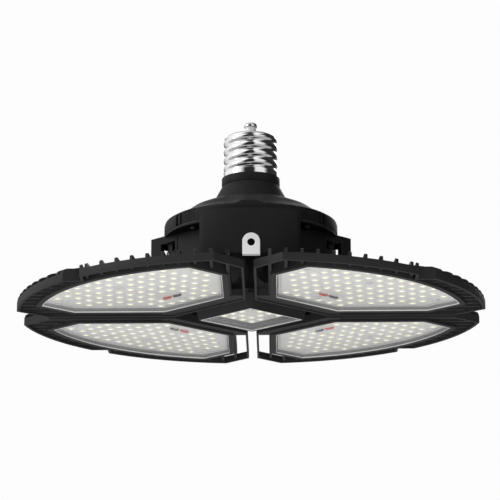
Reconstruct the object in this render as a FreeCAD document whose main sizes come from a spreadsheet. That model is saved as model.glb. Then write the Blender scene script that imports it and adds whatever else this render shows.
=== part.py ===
import FreeCAD, Part
import math, os
from FreeCAD import Vector, Placement, Rotation

# Four-wing folding ceiling light on a large screw base.
# Heights are laid out from the wing lens plane (z = 0, facing down); every
# sub-part's Placement then lowers it so that the row's origin is the tip of
# the centre contact.  Wing pieces are drawn in the wing's own frame, with x
# along the wing's radial direction, and their Placement turns them into place.

doc = FreeCAD.newDocument("folding_light")
sheet = doc.addObject("Spreadsheet::Sheet", "Dims")
CELLS = [
    ("tip_height", 144.0, "contact tip above the wing lens plane"),
    ("shell_rad", 19.75, "plain skirt of the screw shell"),
    ("crest_rad", 19.6, "thread crest"),
    ("shell_bore", 17.4, "inside of the shell"),
    ("thread_pitch", 6.35, "four threads per inch"),
    ("shell_low", 101.4, "bottom of the shell"),
    ("shell_high", 133.7, "top of the shell"),
    ("collar_rad", 20.8, "neck collar"),
    ("collar_low", 95.4, "bottom of the collar"),
    ("cap_rad", 61.6, "skirt of the driver cap"),
    ("cap_low", 57.8, "bottom of the cap skirt"),
    ("cap_wall", 2.5, "wall of the driver cap"),
    ("floor_high", 57.0, "top of the housing floor"),
    ("floor_thick", 2.5, "housing floor"),
    ("lip_thick", 1.2, "round lip of the floor under the cap"),
    ("house_apothem", 50.4, "square housing, centre to side"),
    ("house_wall", 2.5, "housing wall"),
    ("house_low", 38.0, "lower edge of the square skirt"),
    ("corner_low", 43.0, "lower edge of the skirt at its corners on X"),
    ("slot_from", 24.8, "hinge slot, inner side"),
    ("slot_to", 39.6, "hinge slot, outer side"),
    ("slot_high", 51.5, "hinge slot, top"),
    ("corner_reach", 71.0, "square housing corner on X"),
    ("bulge_rad", 69.8, "front and back bulges"),
    ("bulge_half", 34.5, "half width of a bulge"),
    ("bulge_low", 29.5, "lower edge of a bulge"),
    ("bulge_high", 61.0, "upper edge of a bulge"),
    ("frame_apothem", 47.3, "hinge frame plate"),
    ("frame_thick", 3.0, "hinge frame plate thickness"),
    ("column_apothem", 24.0, "hub column"),
    ("column_low", 12.0, "bottom of the hub column"),
    ("axis_reach", 43.2, "hinge axis from the centre line"),
    ("axis_height", 44.2, "hinge axis height"),
    ("pin_rad", 2.5, "hinge pin"),
    ("pin_clear", 0.05, "running clearance of the pin in the arm"),
    ("knuckle_rad", 4.0, "arm knuckle"),
    ("arm_in", 25.5, "arm inner face"),
    ("arm_thick", 5.0, "arm thickness"),
    ("ear_gap", 0.7, "ear to arm"),
    ("ear_thick", 4.0, "ear thickness"),
    ("ear_rad", 3.8, "ear rounding"),
    ("mod_half", 26.7, "centre module, half side at the lens"),
    ("mod_low", -2.0, "centre module lens plane"),
    ("mod_tall", 11.1, "flared height of the module"),
    ("mod_taper", 16.6, "flare of the module in degrees"),
    ("mod_lens_half", 25.8, "centre lens half side"),
    ("mod_board_half", 23.6, "centre board half side"),
    ("mod_board_low", 3.3, "centre board face"),
    ("tab_wide", 12.0, "tether tab width"),
    ("tab_tall", 13.3, "tether tab height"),
    ("tab_thick", 1.6, "tether tab thickness"),
    ("tab_hole", 2.6, "tether tab hole radius"),
    ("tab_off", 0.9, "tether tab, off the centre line"),
    ("gap_half", 3.2, "half of the gap between wings"),
    ("side_bar", 1.5, "wing side bar"),
    ("wing_rad", 164.2, "outer arc of a wing"),
    ("rim_wall", 2.0, "outer rim wall"),
    ("rim_low", 0.2, "lower edge of the rim"),
    ("rim_high", 5.4, "upper edge of the rim"),
    ("notch", 110.0, "square notch on the diagonal"),
    ("chamfer_start", 143.0, "tip chamfer on the side edge"),
    ("chamfer_end", 21.5, "tip chamfer on the arc"),
    ("inner_edge", 56.6, "inner chamfer, sum of both offsets"),
    ("fin_first", 12.5, "first fin"),
    ("fin_pitch", 10.2, "fin pitch"),
    ("fin_thick", 2.0, "fin thickness"),
    ("fin_low", 1.6, "fin lower edge"),
    ("fin_high", 12.0, "fin upper edge"),
    ("notch_high", 8.6, "wall along the notch"),
    ("tray_edge", 4.0, "frame round the lens"),
    ("tray_high", 7.7, "back of the tray"),
    ("window_near", 62.8, "window start"),
    ("seat_deep", 3.6, "lens seat depth"),
    ("board_thick", 1.6, "LED board thickness"),
    ("lens_face", 1.5, "lens face thickness"),
    ("lens_wall", 1.2, "lens side wall"),
    ("lens_tall", 3.0, "lens side wall height"),
    ("lens_a", 17.6, "lens straight edge offset"),
    ("lens_b", 59.8, "lens inner corner"),
    ("lens_c", 123.0, "lens outer corner"),
    ("lens_d", 38.1, "lens tip offset"),
    ("lens_e", 143.6, "lens tip reach"),
    ("led_side", 4.2, "LED package side"),
    ("led_tall", 0.7, "LED package height"),
    ("led_row", 9.4, "LED spacing along the wing"),
    ("led_step", 10.8, "LED spacing across the wing"),
    ("screw_rad", 1.45, "small screw shank"),
    ("screw_head", 2.3, "small screw head"),
]
V = {}
sheet.set("A1", "dimension")
sheet.set("B1", "value")
for i, (alias, val, note) in enumerate(CELLS, start=2):
    sheet.set("A%d" % i, note)
    sheet.set("B%d" % i, str(val))
    sheet.setAlias("B%d" % i, alias)
doc.recompute()
for alias, val, note in CELLS:
    V[alias] = float(getattr(sheet, alias))


class Q:
    """A number together with the sheet expression that gives it."""

    def __init__(self, v, x):
        self.v, self.x = float(v), x

    def __add__(self, o):
        o = q(o)
        return Q(self.v + o.v, "(%s + %s)" % (self.x, o.x))

    def __radd__(self, o):
        return q(o) + self

    def __sub__(self, o):
        o = q(o)
        return Q(self.v - o.v, "(%s - %s)" % (self.x, o.x))

    def __rsub__(self, o):
        return q(o) - self

    def __mul__(self, o):
        o = q(o)
        return Q(self.v * o.v, "(%s * %s)" % (self.x, o.x))

    def __rmul__(self, o):
        return q(o) * self

    def __neg__(self):
        return Q(-self.v, "(0 - %s)" % self.x)


def q(a):
    return a if isinstance(a, Q) else Q(a, "%.6f" % a)


def D(alias):
    return Q(V[alias], "Dims." + alias)


SUBPARTS = []
DOWN = Vector(0, 0, -V["tip_height"])


def place(obj, turn=0.0, local=None):
    pl = Placement(DOWN, Rotation(Vector(0, 0, 1), turn))
    obj.Placement = pl.multiply(local) if local else pl
    SUBPARTS.append(obj)
    return obj


def new_body(label):
    b = doc.addObject("PartDesign::Body", label)
    b.Label = label
    return b


def origin_of(body, role):
    for f in body.Origin.OriginFeatures:
        if f.Role == role:
            return f


def new_sketch(body, role="XY_Plane", off=None):
    sk = body.newObject("Sketcher::SketchObject", body.Name + "_sk")
    sk.AttachmentSupport = (origin_of(body, role), [""])
    sk.MapMode = "FlatFace"
    if off is not None:
        off = q(off)
        sk.AttachmentOffset = Placement(Vector(0, 0, off.v), Rotation())
        sk.setExpression("AttachmentOffset.Base.z", off.x)
    return sk


def bind(sk, idx, val):
    if "Dims." in val.x:
        sk.setExpression("Constraints[%d]" % idx, val.x)


def loop(sk, pts):
    """Closed polygon whose corners are held by bound distances."""
    pts = [(q(a), q(b)) for a, b in pts]
    n = len(pts)
    ids = []
    for i in range(n):
        a, b = pts[i], pts[(i + 1) % n]
        ids.append(sk.addGeometry(Part.LineSegment(Vector(a[0].v, a[1].v, 0),
                                                   Vector(b[0].v, b[1].v, 0)), False))
    import Sketcher
    for i in range(n):
        sk.addConstraint(Sketcher.Constraint("Coincident", ids[i], 2, ids[(i + 1) % n], 1))
    for i in range(n):
        x, y = pts[i]
        if abs(x.v) < 1e-9:
            sk.addConstraint(Sketcher.Constraint("PointOnObject", ids[i], 1, -2))
        else:
            bind(sk, sk.addConstraint(Sketcher.Constraint("DistanceX", -1, 1, ids[i], 1, x.v)), x)
        if abs(y.v) < 1e-9:
            sk.addConstraint(Sketcher.Constraint("PointOnObject", ids[i], 1, -1))
        else:
            bind(sk, sk.addConstraint(Sketcher.Constraint("DistanceY", -1, 1, ids[i], 1, y.v)), y)


def ring(sk, x, y, rad):
    import Sketcher
    x, y, rad = q(x), q(y), q(rad)
    g = sk.addGeometry(Part.Circle(Vector(x.v, y.v, 0), Vector(0, 0, 1), rad.v), False)
    bind(sk, sk.addConstraint(Sketcher.Constraint("Radius", g, rad.v)), rad)
    if abs(x.v) < 1e-9 and abs(y.v) < 1e-9:
        sk.addConstraint(Sketcher.Constraint("Coincident", g, 3, -1, 1))
    else:
        if abs(x.v) < 1e-9:
            sk.addConstraint(Sketcher.Constraint("PointOnObject", g, 3, -2))
        else:
            bind(sk, sk.addConstraint(Sketcher.Constraint("DistanceX", -1, 1, g, 3, x.v)), x)
        if abs(y.v) < 1e-9:
            sk.addConstraint(Sketcher.Constraint("PointOnObject", g, 3, -1))
        else:
            bind(sk, sk.addConstraint(Sketcher.Constraint("DistanceY", -1, 1, g, 3, y.v)), y)


def path(sk, segs):
    """Closed outline of straight and arc pieces: (p, q) or (p, mid, q)."""
    for s in segs:
        v = [Vector(p[0], p[1], 0) for p in s]
        if len(v) == 2:
            sk.addGeometry(Part.LineSegment(v[0], v[1]), False)
        else:
            sk.addGeometry(Part.Arc(v[0], v[1], v[2]), False)


def feature(body, kind, sk, length=None, rev=False):
    f = body.newObject("PartDesign::" + kind, body.Name + "_" + kind.lower())
    f.Profile = sk
    if length is not None:
        length = q(length)
        f.Length = length.v
        f.setExpression("Length", length.x)
    if rev:
        f.Reversed = True
    body.Tip = f
    sk.Visibility = False
    return f


def pad(body, sk, length, rev=False):
    return feature(body, "Pad", sk, length, rev)


def cut_up(body, sk, length):
    """Pocket that removes material above its sketch; the volume must fall."""
    doc.recompute()
    before = body.Shape.Volume
    f = feature(body, "Pocket", sk, length, True)
    doc.recompute()
    if not body.Shape.Volume < before - 1e-6:
        raise RuntimeError("pocket in %s removed nothing" % body.Label)
    return f


def turn_profile(body, pts, kind="Revolution"):
    sk = new_sketch(body, "XZ_Plane")
    loop(sk, pts)
    if kind == "Groove":
        doc.recompute()
        before = body.Shape.Volume
    f = feature(body, kind, sk)
    f.ReferenceAxis = (sk, ["V_Axis"])
    f.Angle = 360
    if kind == "Groove":
        doc.recompute()
        if not body.Shape.Volume < before - 1e-6:
            raise RuntimeError("groove in %s removed nothing" % body.Label)
    return f


def group(label, shapes, turn=0.0):
    """Identical small pieces as one node of separate solids."""
    f = doc.addObject("Part::Feature", label)
    f.Label = label
    f.Shape = Part.makeCompound(shapes)
    return place(f, turn)


def cyl(r, a, b):
    a, b = Vector(*a), Vector(*b)
    return Part.makeCylinder(r, (b - a).Length, a, b - a)


# ---------------------------------------------------------------- screw base
b = new_body("screw_shell")
lo, hi = D("shell_low"), D("shell_high")
turn_profile(b, [
    (D("shell_bore"), lo), (D("shell_rad"), lo), (D("shell_rad"), lo + 4.2), (D("crest_rad"), lo + 4.6),
    (D("crest_rad"), hi - 4.0), (18.9, hi - 2.6), (17.2, hi - 1.2), (14.0, hi - 0.3), (9.6, hi),
    (9.6, hi - 1.2), (13.6, hi - 1.6), (16.2, hi - 2.4), (D("shell_bore"), hi - 4.2)])
sk = new_sketch(b, "XZ_Plane")
ring(sk, D("crest_rad") + 0.9, lo + 6.6, 2.1)
g = feature(b, "Groove", sk)
g.ReferenceAxis = (sk, ["V_Axis"])
g.Angle = 360
doc.recompute()
pt = b.newObject("PartDesign::LinearPattern", "shell_threads")
pt.Originals = [g]
pt.Direction = (origin_of(b, "Z_Axis"), [""])
pt.Length = 3 * V["thread_pitch"]
pt.setExpression("Length", "3 * Dims.thread_pitch")
pt.Occurrences = 4
b.Tip = pt
place(b)

b = new_body("contact_insulator")
turn_profile(b, [(1.5, hi - 5.0), (15.6, hi - 5.0), (15.6, hi - 2.9), (13.2, hi - 2.0), (9.3, hi - 1.6),
                 (9.3, hi + 0.2), (7.6, hi + 0.8), (5.4, hi + 1.6), (4.2, hi + 3.0), (4.2, hi + 6.5),
                 (1.5, hi + 6.5)])
place(b)

b = new_body("center_contact")
th = D("tip_height")
turn_profile(b, [(0, th - 17.0), (1.4, th - 17.0), (1.4, th - 3.8), (4.5, th - 3.8), (4.95, th - 3.2),
                 (4.85, th - 2.2), (4.2, th - 1.2), (3.1, th - 0.5), (1.6, th - 0.12), (0, th)])
place(b)

b = new_body("neck_collar")
cl = D("collar_low")
turn_profile(b, [(12.0, cl), (D("collar_rad"), cl), (D("collar_rad"), lo), (17.15, lo), (17.15, lo + 4.5),
                 (12.0, lo + 4.5)])
place(b)

# ---------------------------------------------------------------- driver cap
b = new_body("driver_cap")
cp, w = D("cap_low"), D("cap_wall")
turn_profile(b, [
    (12.0, cl - 2.6), (18.2, cl - 2.6), (24.6, 82.2), (41.6, 75.4), (47.8, 71.0), (58.0, 65.8),
    (D("cap_rad") - w, 64.4), (D("cap_rad") - w, cp), (D("cap_rad"), cp), (D("cap_rad"), 65.0),
    (61.0, 66.8), (58.6, 68.2), (53.0, 70.6), (48.8, 73.0), (42.4, 77.6), (34.0, 81.2), (26.4, 84.3),
    (20.4, cl), (12.0, cl)])
# screw bosses inside the skirt
sk = new_sketch(b, "XY_Plane", cp)
for a in (45, 135, 225, 315):
    ring(sk, 54.6 * math.cos(math.radians(a)), 54.6 * math.sin(math.radians(a)), 3.4)
pad(b, sk, 10.2)
sk = new_sketch(b, "XY_Plane", cp - 1)
for a in (45, 135, 225, 315):
    ring(sk, 54.6 * math.cos(math.radians(a)), 54.6 * math.sin(math.radians(a)), 1.65)
cut_up(b, sk, 7.0)
# small arched boss over each bulge
for side in (1, -1):
    sk = new_sketch(b, "XZ_Plane", 59.4 * side)
    loop(sk, [(-13.5, 61.3), (13.5, 61.3), (9.5, 65.4), (5.0, 67.6), (-5.0, 67.6), (-9.5, 65.4)])
    pad(b, sk, 6.0, rev=(side < 0))
# recessed panels and upright grooves round the skirt
doc.recompute()
before = b.Shape.Volume
sk = new_sketch(b, "XY_Plane", 56.0)
for base in (0, 180):
    for sgn in (1, -1):
        r0, r1 = 60.7, 64.0
        a0, a1 = sorted((math.radians(base + sgn * 37.5), math.radians(base + sgn * 52.5)))
        pp = [(r0, a0), (r1, a0), (r1, a1), (r0, a1)]
        c = [(r * math.cos(a), r * math.sin(a)) for r, a in pp]
        m = (a0 + a1) / 2
        path(sk, [(c[0], c[1]), (c[1], (r1 * math.cos(m), r1 * math.sin(m)), c[2]), (c[2], c[3]),
                  (c[3], (r0 * math.cos(m), r0 * math.sin(m)), c[0])])
        r0 = 60.0
        a0, a1 = sorted((math.radians(base + sgn * 33.0), math.radians(base + sgn * 35.2)))
        pp = [(r0, a0), (r1, a0), (r1, a1), (r0, a1)]
        c = [(r * math.cos(a), r * math.sin(a)) for r, a in pp]
        path(sk, [(c[0], c[1]), (c[1], c[2]), (c[2], c[3]), (c[3], c[0])])
f = feature(b, "Pocket", sk, 10.6, True)
doc.recompute()
if not b.Shape.Volume < before:
    raise RuntimeError("panels cut nothing")
place(b)

b = new_body("cap_gasket")
sk = new_sketch(b, "XY_Plane", D("floor_high"))
ring(sk, 0, 0, D("cap_rad") - 0.3)
ring(sk, 0, 0, D("cap_rad") - 2.3)
pad(b, sk, D("cap_low") - D("floor_high"))
place(b)

# ------------------------------------------------------------ driver housing
ap, wl = V["house_apothem"], V["house_wall"]
half_d = ap * math.sqrt(2)
b = new_body("driver_housing")
# floor disc, with the square's corners reaching past it on X
f_lo = D("floor_high") - D("floor_thick")
sk = new_sketch(b, "XY_Plane", D("floor_high") - D("lip_thick"))
ring(sk, 0, 0, D("cap_rad"))
pad(b, sk, D("lip_thick"))
reach, bh = V["corner_reach"], V["bulge_half"]
cy = half_d - reach
sk = new_sketch(b, "XY_Plane", D("house_low"))
qx = bh - wl
loop(sk, [(-D("corner_reach"), -cy), (-qx, -(half_d - qx)), (qx, -(half_d - qx)),
          (D("corner_reach"), -cy), (D("corner_reach"), cy), (qx, half_d - qx),
          (-qx, half_d - qx), (-D("corner_reach"), cy)])
pad(b, sk, D("floor_high") - D("house_low"))
# bulges: round outside, square sides
R, bl = D("bulge_rad"), D("bulge_low")
y0 = math.sqrt(V["bulge_rad"] ** 2 - bh ** 2)
sk = new_sketch(b, "XY_Plane", bl)
path(sk, [((-bh, -y0), (0, -R.v), (bh, -y0)), ((bh, -y0), (bh, y0)), ((bh, y0), (0, R.v), (-bh, y0)),
          ((-bh, y0), (-bh, -y0))])
pad(b, sk, D("bulge_high") - bl)
# hollow underside
sk = new_sketch(b, "XY_Plane", bl - 1)
ri = V["bulge_rad"] - wl
xi = bh - wl
yi = math.sqrt(ri ** 2 - xi ** 2)
di = (ap - wl) * math.sqrt(2)
path(sk, [((-xi, -yi), (0, -ri), (xi, -yi)), ((xi, -yi), (xi, -(di - xi))), ((xi, -(di - xi)), (di, 0)),
          ((di, 0), (xi, di - xi)), ((xi, di - xi), (xi, yi)),
          ((xi, yi), (0, ri), (-xi, yi)), ((-xi, yi), (-xi, di - xi)), ((-xi, di - xi), (-di, 0)),
          ((-di, 0), (-xi, -(di - xi))), ((-xi, -(di - xi)), (-xi, -yi))])
cut_up(b, sk, f_lo - bl + 1)
# room for the cap above the floor
sk = new_sketch(b, "XY_Plane", D("floor_high"))
ring(sk, 0, 0, D("cap_rad") + 0.3)
cut_up(b, sk, 6.0)
# room under the bulge tops
sk = new_sketch(b, "XY_Plane", f_lo - 0.5)
for sgn in (1, -1):
    rr = V["cap_rad"] + 2.5
    yy = math.sqrt(rr ** 2 - xi ** 2)
    path(sk, [((-xi, sgn * yi), (0, sgn * ri), (xi, sgn * yi)), ((xi, sgn * yi), (xi, sgn * yy)),
              ((xi, sgn * yy), (0, sgn * rr), (-xi, sgn * yy)), ((-xi, sgn * yy), (-xi, sgn * yi))])
cut_up(b, sk, D("bulge_high") - f_lo - 2.0)
# arched slots for the hinges in the four side walls, each towards its corner on X
sk = new_sketch(b, "XY_Plane", D("house_low") - 1)
for a in (45, 135, 225, 315):
    side = 1 if a in (45, 225) else -1
    u = Vector(math.cos(math.radians(a)), math.sin(math.radians(a)), 0)
    t = Vector(u.y, -u.x, 0) * side
    ww = ap - wl / 2
    c = [u * (ww + k * 2.2) + t * V[j] for k, j in ((-1, "slot_from"), (1, "slot_from"), (1, "slot_to"), (-1, "slot_to"))]
    path(sk, [((c[i].x, c[i].y), (c[(i + 1) % 4].x, c[(i + 1) % 4].y)) for i in range(4)])
cut_up(b, sk, D("slot_high") - D("house_low") + 1)
# fine upright groove beside each slot
sk = new_sketch(b, "XY_Plane", D("house_low") - 1)
for a in (45, 135, 225, 315):
    side = 1 if a in (45, 225) else -1
    u = Vector(math.cos(math.radians(a)), math.sin(math.radians(a)), 0)
    t = Vector(u.y, -u.x, 0) * side
    c = [u * (ap + k) + t * j for k, j in ((-0.5, 21.6), (1.0, 21.6), (1.0, 22.3), (-0.5, 22.3))]
    path(sk, [((c[i].x, c[i].y), (c[(i + 1) % 4].x, c[(i + 1) % 4].y)) for i in range(4)])
cut_up(b, sk, f_lo - D("house_low") + 1)
# the skirt is shorter at its corners on X
sk = new_sketch(b, "XY_Plane", D("house_low") - 1)
for sgn in (1, -1):
    loop(sk, [(sgn * 60.0, -20), (sgn * (D("corner_reach") + 2), -20), (sgn * (D("corner_reach") + 2), 20), (sgn * 60.0, 20)])
cut_up(b, sk, D("corner_low") - D("house_low") + 1)
# holes: cap screws, wiring, tether passage behind the tab
sk = new_sketch(b, "XY_Plane", f_lo - 1)
for a in (45, 135, 225, 315):
    ring(sk, 54.6 * math.cos(math.radians(a)), 54.6 * math.sin(math.radians(a)), 1.7)
ring(sk, 0, 0, 9.0)
cut_up(b, sk, 5.0)
sk = new_sketch(b, "XZ_Plane", 60.0)
ring(sk, D("tab_off"), D("bulge_low") + 6.8, 3.4)
doc.recompute()
before = b.Shape.Volume
f = feature(b, "Pocket", sk, 12.0, True)
doc.recompute()
if not b.Shape.Volume < before - 1e-6:
    raise RuntimeError("tether hole cut nothing")
# board posts
sk = new_sketch(b, "XY_Plane", D("floor_high"))
for x, y in ((30, 22), (-30, 22), (30, -22), (-30, -22)):
    ring(sk, x, y, 3.0)
pad(b, sk, 3.0)
place(b)

pins = []
for a in (45, 135, 225, 315):
    x, y = 54.6 * math.cos(math.radians(a)), 54.6 * math.sin(math.radians(a))
    lip = V["floor_high"] - V["lip_thick"]
    s = cyl(2.8, (x, y, lip - 1.6), (x, y, lip)).fuse(cyl(1.6, (x, y, lip), (x, y, lip + 7.2)))
    s = s.cut(Part.makeBox(4.2, 0.8, 0.8, Vector(x - 2.1, y - 0.4, lip - 1.6)))
    s = s.cut(Part.makeBox(0.8, 4.2, 0.8, Vector(x - 0.4, y - 2.1, lip - 1.6)))
    pins.append(s)
group("cap_screws", pins)

# ----------------------------------------------------------- driver contents
b = new_body("driver_board")
sk = new_sketch(b, "XY_Plane", D("floor_high") + 3.0)
ring(sk, 0, 0, 49.0)
ring(sk, 0, 0, 8.0)
pad(b, sk, 1.6)
place(b)
bz = V["floor_high"] + 4.6
core = Part.makeBox(22, 9, 13, Vector(12, -4.5, bz)).cut(Part.makeBox(6, 9, 9, Vector(13.5, -4.5, bz + 2))) \
    .cut(Part.makeBox(6, 9, 9, Vector(26.5, -4.5, bz + 2)))
group("transformer_core", [core])
wind = Part.makeBox(11.0, 15.0, 8.6, Vector(17.5, -7.5, bz + 2.2))
wind = wind.cut(Part.makeBox(7.0, 9.0, 13.0, Vector(19.5, -4.5, bz)))
group("transformer_winding", [s for s in wind.Solids])
group("driver_capacitors", [cyl(4.0, (-18, y, bz), (-18, y, bz + 13)) for y in (-12, 0, 12)]
      + [cyl(3.2, (0, y, bz), (0, y, bz + 11)) for y in (-22, 22)])
group("driver_chips", [Part.makeBox(9, 5, 2.6, Vector(x, y, bz)) for x, y in ((-34, -14), (-34, 8), (12, 18), (12, -26))]
      + [Part.makeBox(3, 16, 9, Vector(-30, -8, bz))])
group("base_leads", [cyl(0.9, (x, 0, bz + 0.2), (x, 0, 124.0)) for x in (-4.5, 6.5)])

# --------------------------------------------------------------- hinge frame
TURN = 45.0
b = new_body("hinge_frame")
fa = D("frame_apothem")
pl_lo = f_lo - D("frame_thick")
sk = new_sketch(b, "XY_Plane", pl_lo)
tr = 36.0
loop(sk, [(-fa, -tr), (-tr, -fa), (tr, -fa), (fa, -tr), (fa, tr), (tr, fa), (-tr, fa), (-fa, tr)])
pad(b, sk, D("frame_thick"))
sk = new_sketch(b, "XY_Plane", D("column_low"))
ca = D("column_apothem")
loop(sk, [(-ca, -18), (-18, -ca), (18, -ca), (ca, -18), (ca, 18), (18, ca), (-18, ca), (-ca, 18)])
pad(b, sk, pl_lo - D("column_low"))
ears = []
ax, az = D("axis_reach"), D("axis_height")
for y in (D("arm_in") + D("arm_thick") + D("ear_gap"), D("arm_in") - D("ear_gap") - D("ear_thick")):
    for sgn in (1, -1):
        # the XZ plane's normal points to -Y
        sk = new_sketch(b, "XZ_Plane", (-y if sgn > 0 else y + D("ear_thick")) - (D("ear_thick") if sgn > 0 else 0.0))
        er = V["ear_rad"]
        top = pl_lo.v + 1.0
        path(sk, [((ax.v - er, az.v), (ax.v, az.v - er), (ax.v + er, az.v)), ((ax.v + er, az.v), (ax.v + er, top)),
                  ((ax.v + er, top), (ax.v - er, top)), ((ax.v - er, top), (ax.v - er, az.v))])
        ring(sk, ax, az, D("pin_rad") + 0.02)
        if sgn > 0:
            ears.append(pad(b, sk, D("ear_thick")))
        else:
            ears.append(pad(b, sk, D("ear_thick"), rev=True))
doc.recompute()
pt = b.newObject("PartDesign::PolarPattern", "ear_ring")
pt.Originals = ears
pt.Axis = (origin_of(b, "Z_Axis"), [""])
pt.Angle = 360
pt.Occurrences = 4
b.Tip = pt
doc.recompute()
sk = new_sketch(b, "XY_Plane", D("column_low") - 1)
ring(sk, 0, 0, 8.0)
for x, y in ((15, 15), (-15, 15), (15, -15), (-15, -15)):
    ring(sk, x, y, 1.6)
cut_up(b, sk, 60)
place(b, TURN)


def hinge_set(fn):
    out = []
    for k in range(4):
        for sgn in (1, -1):
            for s in fn(sgn):
                s.rotate(Vector(0, 0, 0), Vector(0, 0, 1), 90 * k)
                out.append(s)
    return out


AX, AZ = V["axis_reach"], V["axis_height"]
e_out = V["arm_in"] + V["arm_thick"] + V["ear_gap"] + V["ear_thick"]
e_in = V["arm_in"] - V["ear_gap"] - V["ear_thick"]


def one_pin(sgn):
    s = cyl(V["pin_rad"], (AX, sgn * (e_in - 2.9), AZ), (AX, sgn * (e_out + 0.5), AZ))
    return [s.fuse(cyl(3.5, (AX, sgn * e_out, AZ), (AX, sgn * (e_out + 2.6), AZ)))]


def one_nut(sgn):
    pts = [Vector(AX + 3.7 * math.cos(math.radians(60 * i)), 0, AZ + 3.7 * math.sin(math.radians(60 * i)))
           for i in range(7)]
    face = Part.Face(Part.makePolygon(pts))
    s = face.extrude(Vector(0, 2.4, 0))
    s.translate(Vector(0, e_in - 2.4 if sgn > 0 else -e_in, 0))
    return [s.cut(cyl(V["pin_rad"] + 0.02, (AX, -60, AZ), (AX, 60, AZ)))]


def washers(sgn):
    out = []
    for y in (V["arm_in"] - V["ear_gap"] + 0.05, V["arm_in"] + V["arm_thick"] + 0.05):
        s = cyl(3.7, (AX, sgn * y, AZ), (AX, sgn * (y + V["ear_gap"] - 0.1), AZ))
        out.append(s.cut(cyl(V["pin_rad"] + 0.02, (AX, -60, AZ), (AX, 60, AZ))))
    return out


group("hinge_pins", hinge_set(one_pin), TURN)
group("hinge_nuts", hinge_set(one_nut), TURN)
group("friction_washers", hinge_set(washers), TURN)

# ------------------------------------------------------------- centre module
b = new_body("center_housing")
mh, ml = D("mod_half"), D("mod_low")
sk = new_sketch(b, "XY_Plane", ml)
c = 1.6
loop(sk, [(-mh, -mh + c), (-mh + c, -mh), (mh - c, -mh), (mh, -mh + c), (mh, mh - c), (mh - c, mh), (-mh + c, mh), (-mh, mh - c)])
f = pad(b, sk, D("mod_tall"))
f.TaperAngle = V["mod_taper"]
f.setExpression("TaperAngle", "Dims.mod_taper")
top = ml + D("mod_tall")
sk = new_sketch(b, "XY_Plane", top)
loop(sk, [(-29, -26), (-26, -29), (26, -29), (29, -26), (29, 26), (26, 29), (-26, 29), (-29, 26)])
pad(b, sk, D("column_low") - top)
sk = new_sketch(b, "XY_Plane", ml - 1)
e = D("mod_lens_half") + 0.1
loop(sk, [(-e, -e), (e, -e), (e, e), (-e, e)])
cut_up(b, sk, 3.6)
sk = new_sketch(b, "XY_Plane", 0)
e = D("mod_board_half") + 0.2
loop(sk, [(-e, -e), (e, -e), (e, e), (-e, e)])
cut_up(b, sk, D("mod_board_low") + D("board_thick"))
sk = new_sketch(b, "XY_Plane", 4.0)
ring(sk, 0, 0, 8.0)
for x, y in ((15, 15), (-15, 15), (15, -15), (-15, -15)):
    ring(sk, x, y, 1.6)
cut_up(b, sk, 12.0)
place(b, TURN)
group("module_screws", [cyl(1.5, (x, y, 5.2), (x, y, 22.0))
                        for x, y in ((15, 15), (-15, 15), (15, -15), (-15, -15))], TURN)

b = new_body("center_lens")
sk = new_sketch(b, "XY_Plane", ml)
e = D("mod_lens_half")
loop(sk, [(-e, -e), (e, -e), (e, e), (-e, e)])
pad(b, sk, 2.0)
place(b, TURN)

b = new_body("center_gasket")
sk = new_sketch(b, "XY_Plane", ml + 2.0)
e = D("mod_lens_half")
loop(sk, [(-e, -e), (e, -e), (e, e), (-e, e)])
e = D("mod_board_half") + 0.2
loop(sk, [(-e, -e), (e, -e), (e, e), (-e, e)])
pad(b, sk, 0.6)
place(b, TURN)

b = new_body("center_board")
sk = new_sketch(b, "XY_Plane", D("mod_board_low"))
e = D("mod_board_half")
loop(sk, [(-e, -e), (e, -e), (e, e), (-e, e)])
for x, y in ((-17, 3), (17, -3)):
    ring(sk, x, y, 1.5)
pad(b, sk, D("board_thick"))
place(b, TURN)
ls, lt = V["led_side"], V["led_tall"]
mb = V["mod_board_low"]
cl_pts = [(x, y) for x in (-18, -9, 0, 9, 18) for y in (-18, -9, 0, 9, 18)
          if (abs(x) + abs(y)) > 8 and not (abs(x) == 18 and abs(y) < 8) and not (x < -8 and y < -8)]
group("center_leds", [Part.makeBox(ls, ls, lt, Vector(x - ls / 2, y - ls / 2, mb - lt)) for x, y in cl_pts], TURN)
group("center_board_screws", [cyl(2.2, (x, y, mb - 1.0), (x, y, mb)).fuse(cyl(1.45, (x, y, mb), (x, y, mb + 1.5)))
                              for x, y in ((-17, 3), (17, -3))], TURN)
for label, off in (("center_lead_red", -1.3), ("center_lead_black", 1.3)):
    c = doc.addObject("Part::Cylinder", label)
    c.Label = label
    c.Radius, c.Height = 0.9, 8.0
    u = Vector(-1, -1, 0).normalize()
    p = u * 15.5 + Vector(-u.y, u.x, 0) * off + Vector(0, 0, mb - 1.0)
    place(c, TURN, Placement(p, Rotation(Vector(0, 0, 1), u)))

# ---------------------------------------------------------------- tether tab
b = new_body("tether_tab")
R = V["bulge_rad"]
tw, tt = V["tab_wide"] / 2, V["tab_tall"]
sk = new_sketch(b, "XZ_Plane", R + 0.02)
zc = V["bulge_low"] + tt - tw
to = V["tab_off"]
path(sk, [((to - tw, V["bulge_low"]), (to + tw, V["bulge_low"])), ((to + tw, V["bulge_low"]), (to + tw, zc)),
          ((to + tw, zc), (to, zc + tw), (to - tw, zc)), ((to - tw, zc), (to - tw, V["bulge_low"]))])
ring(sk, D("tab_off"), D("bulge_low") + 6.8, D("tab_hole"))
pad(b, sk, D("tab_thick"))
sk = new_sketch(b, "XY_Plane", D("bulge_low") - 1.7)
loop(sk, [(to - tw, -(R + 0.02 + V["tab_thick"])), (to + tw, -(R + 0.02 + V["tab_thick"])), (to + tw, -66.5), (to - tw, -66.5)])
pad(b, sk, 1.6)
sk = new_sketch(b, "XY_Plane", D("bulge_low") - 0.2)
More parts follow.
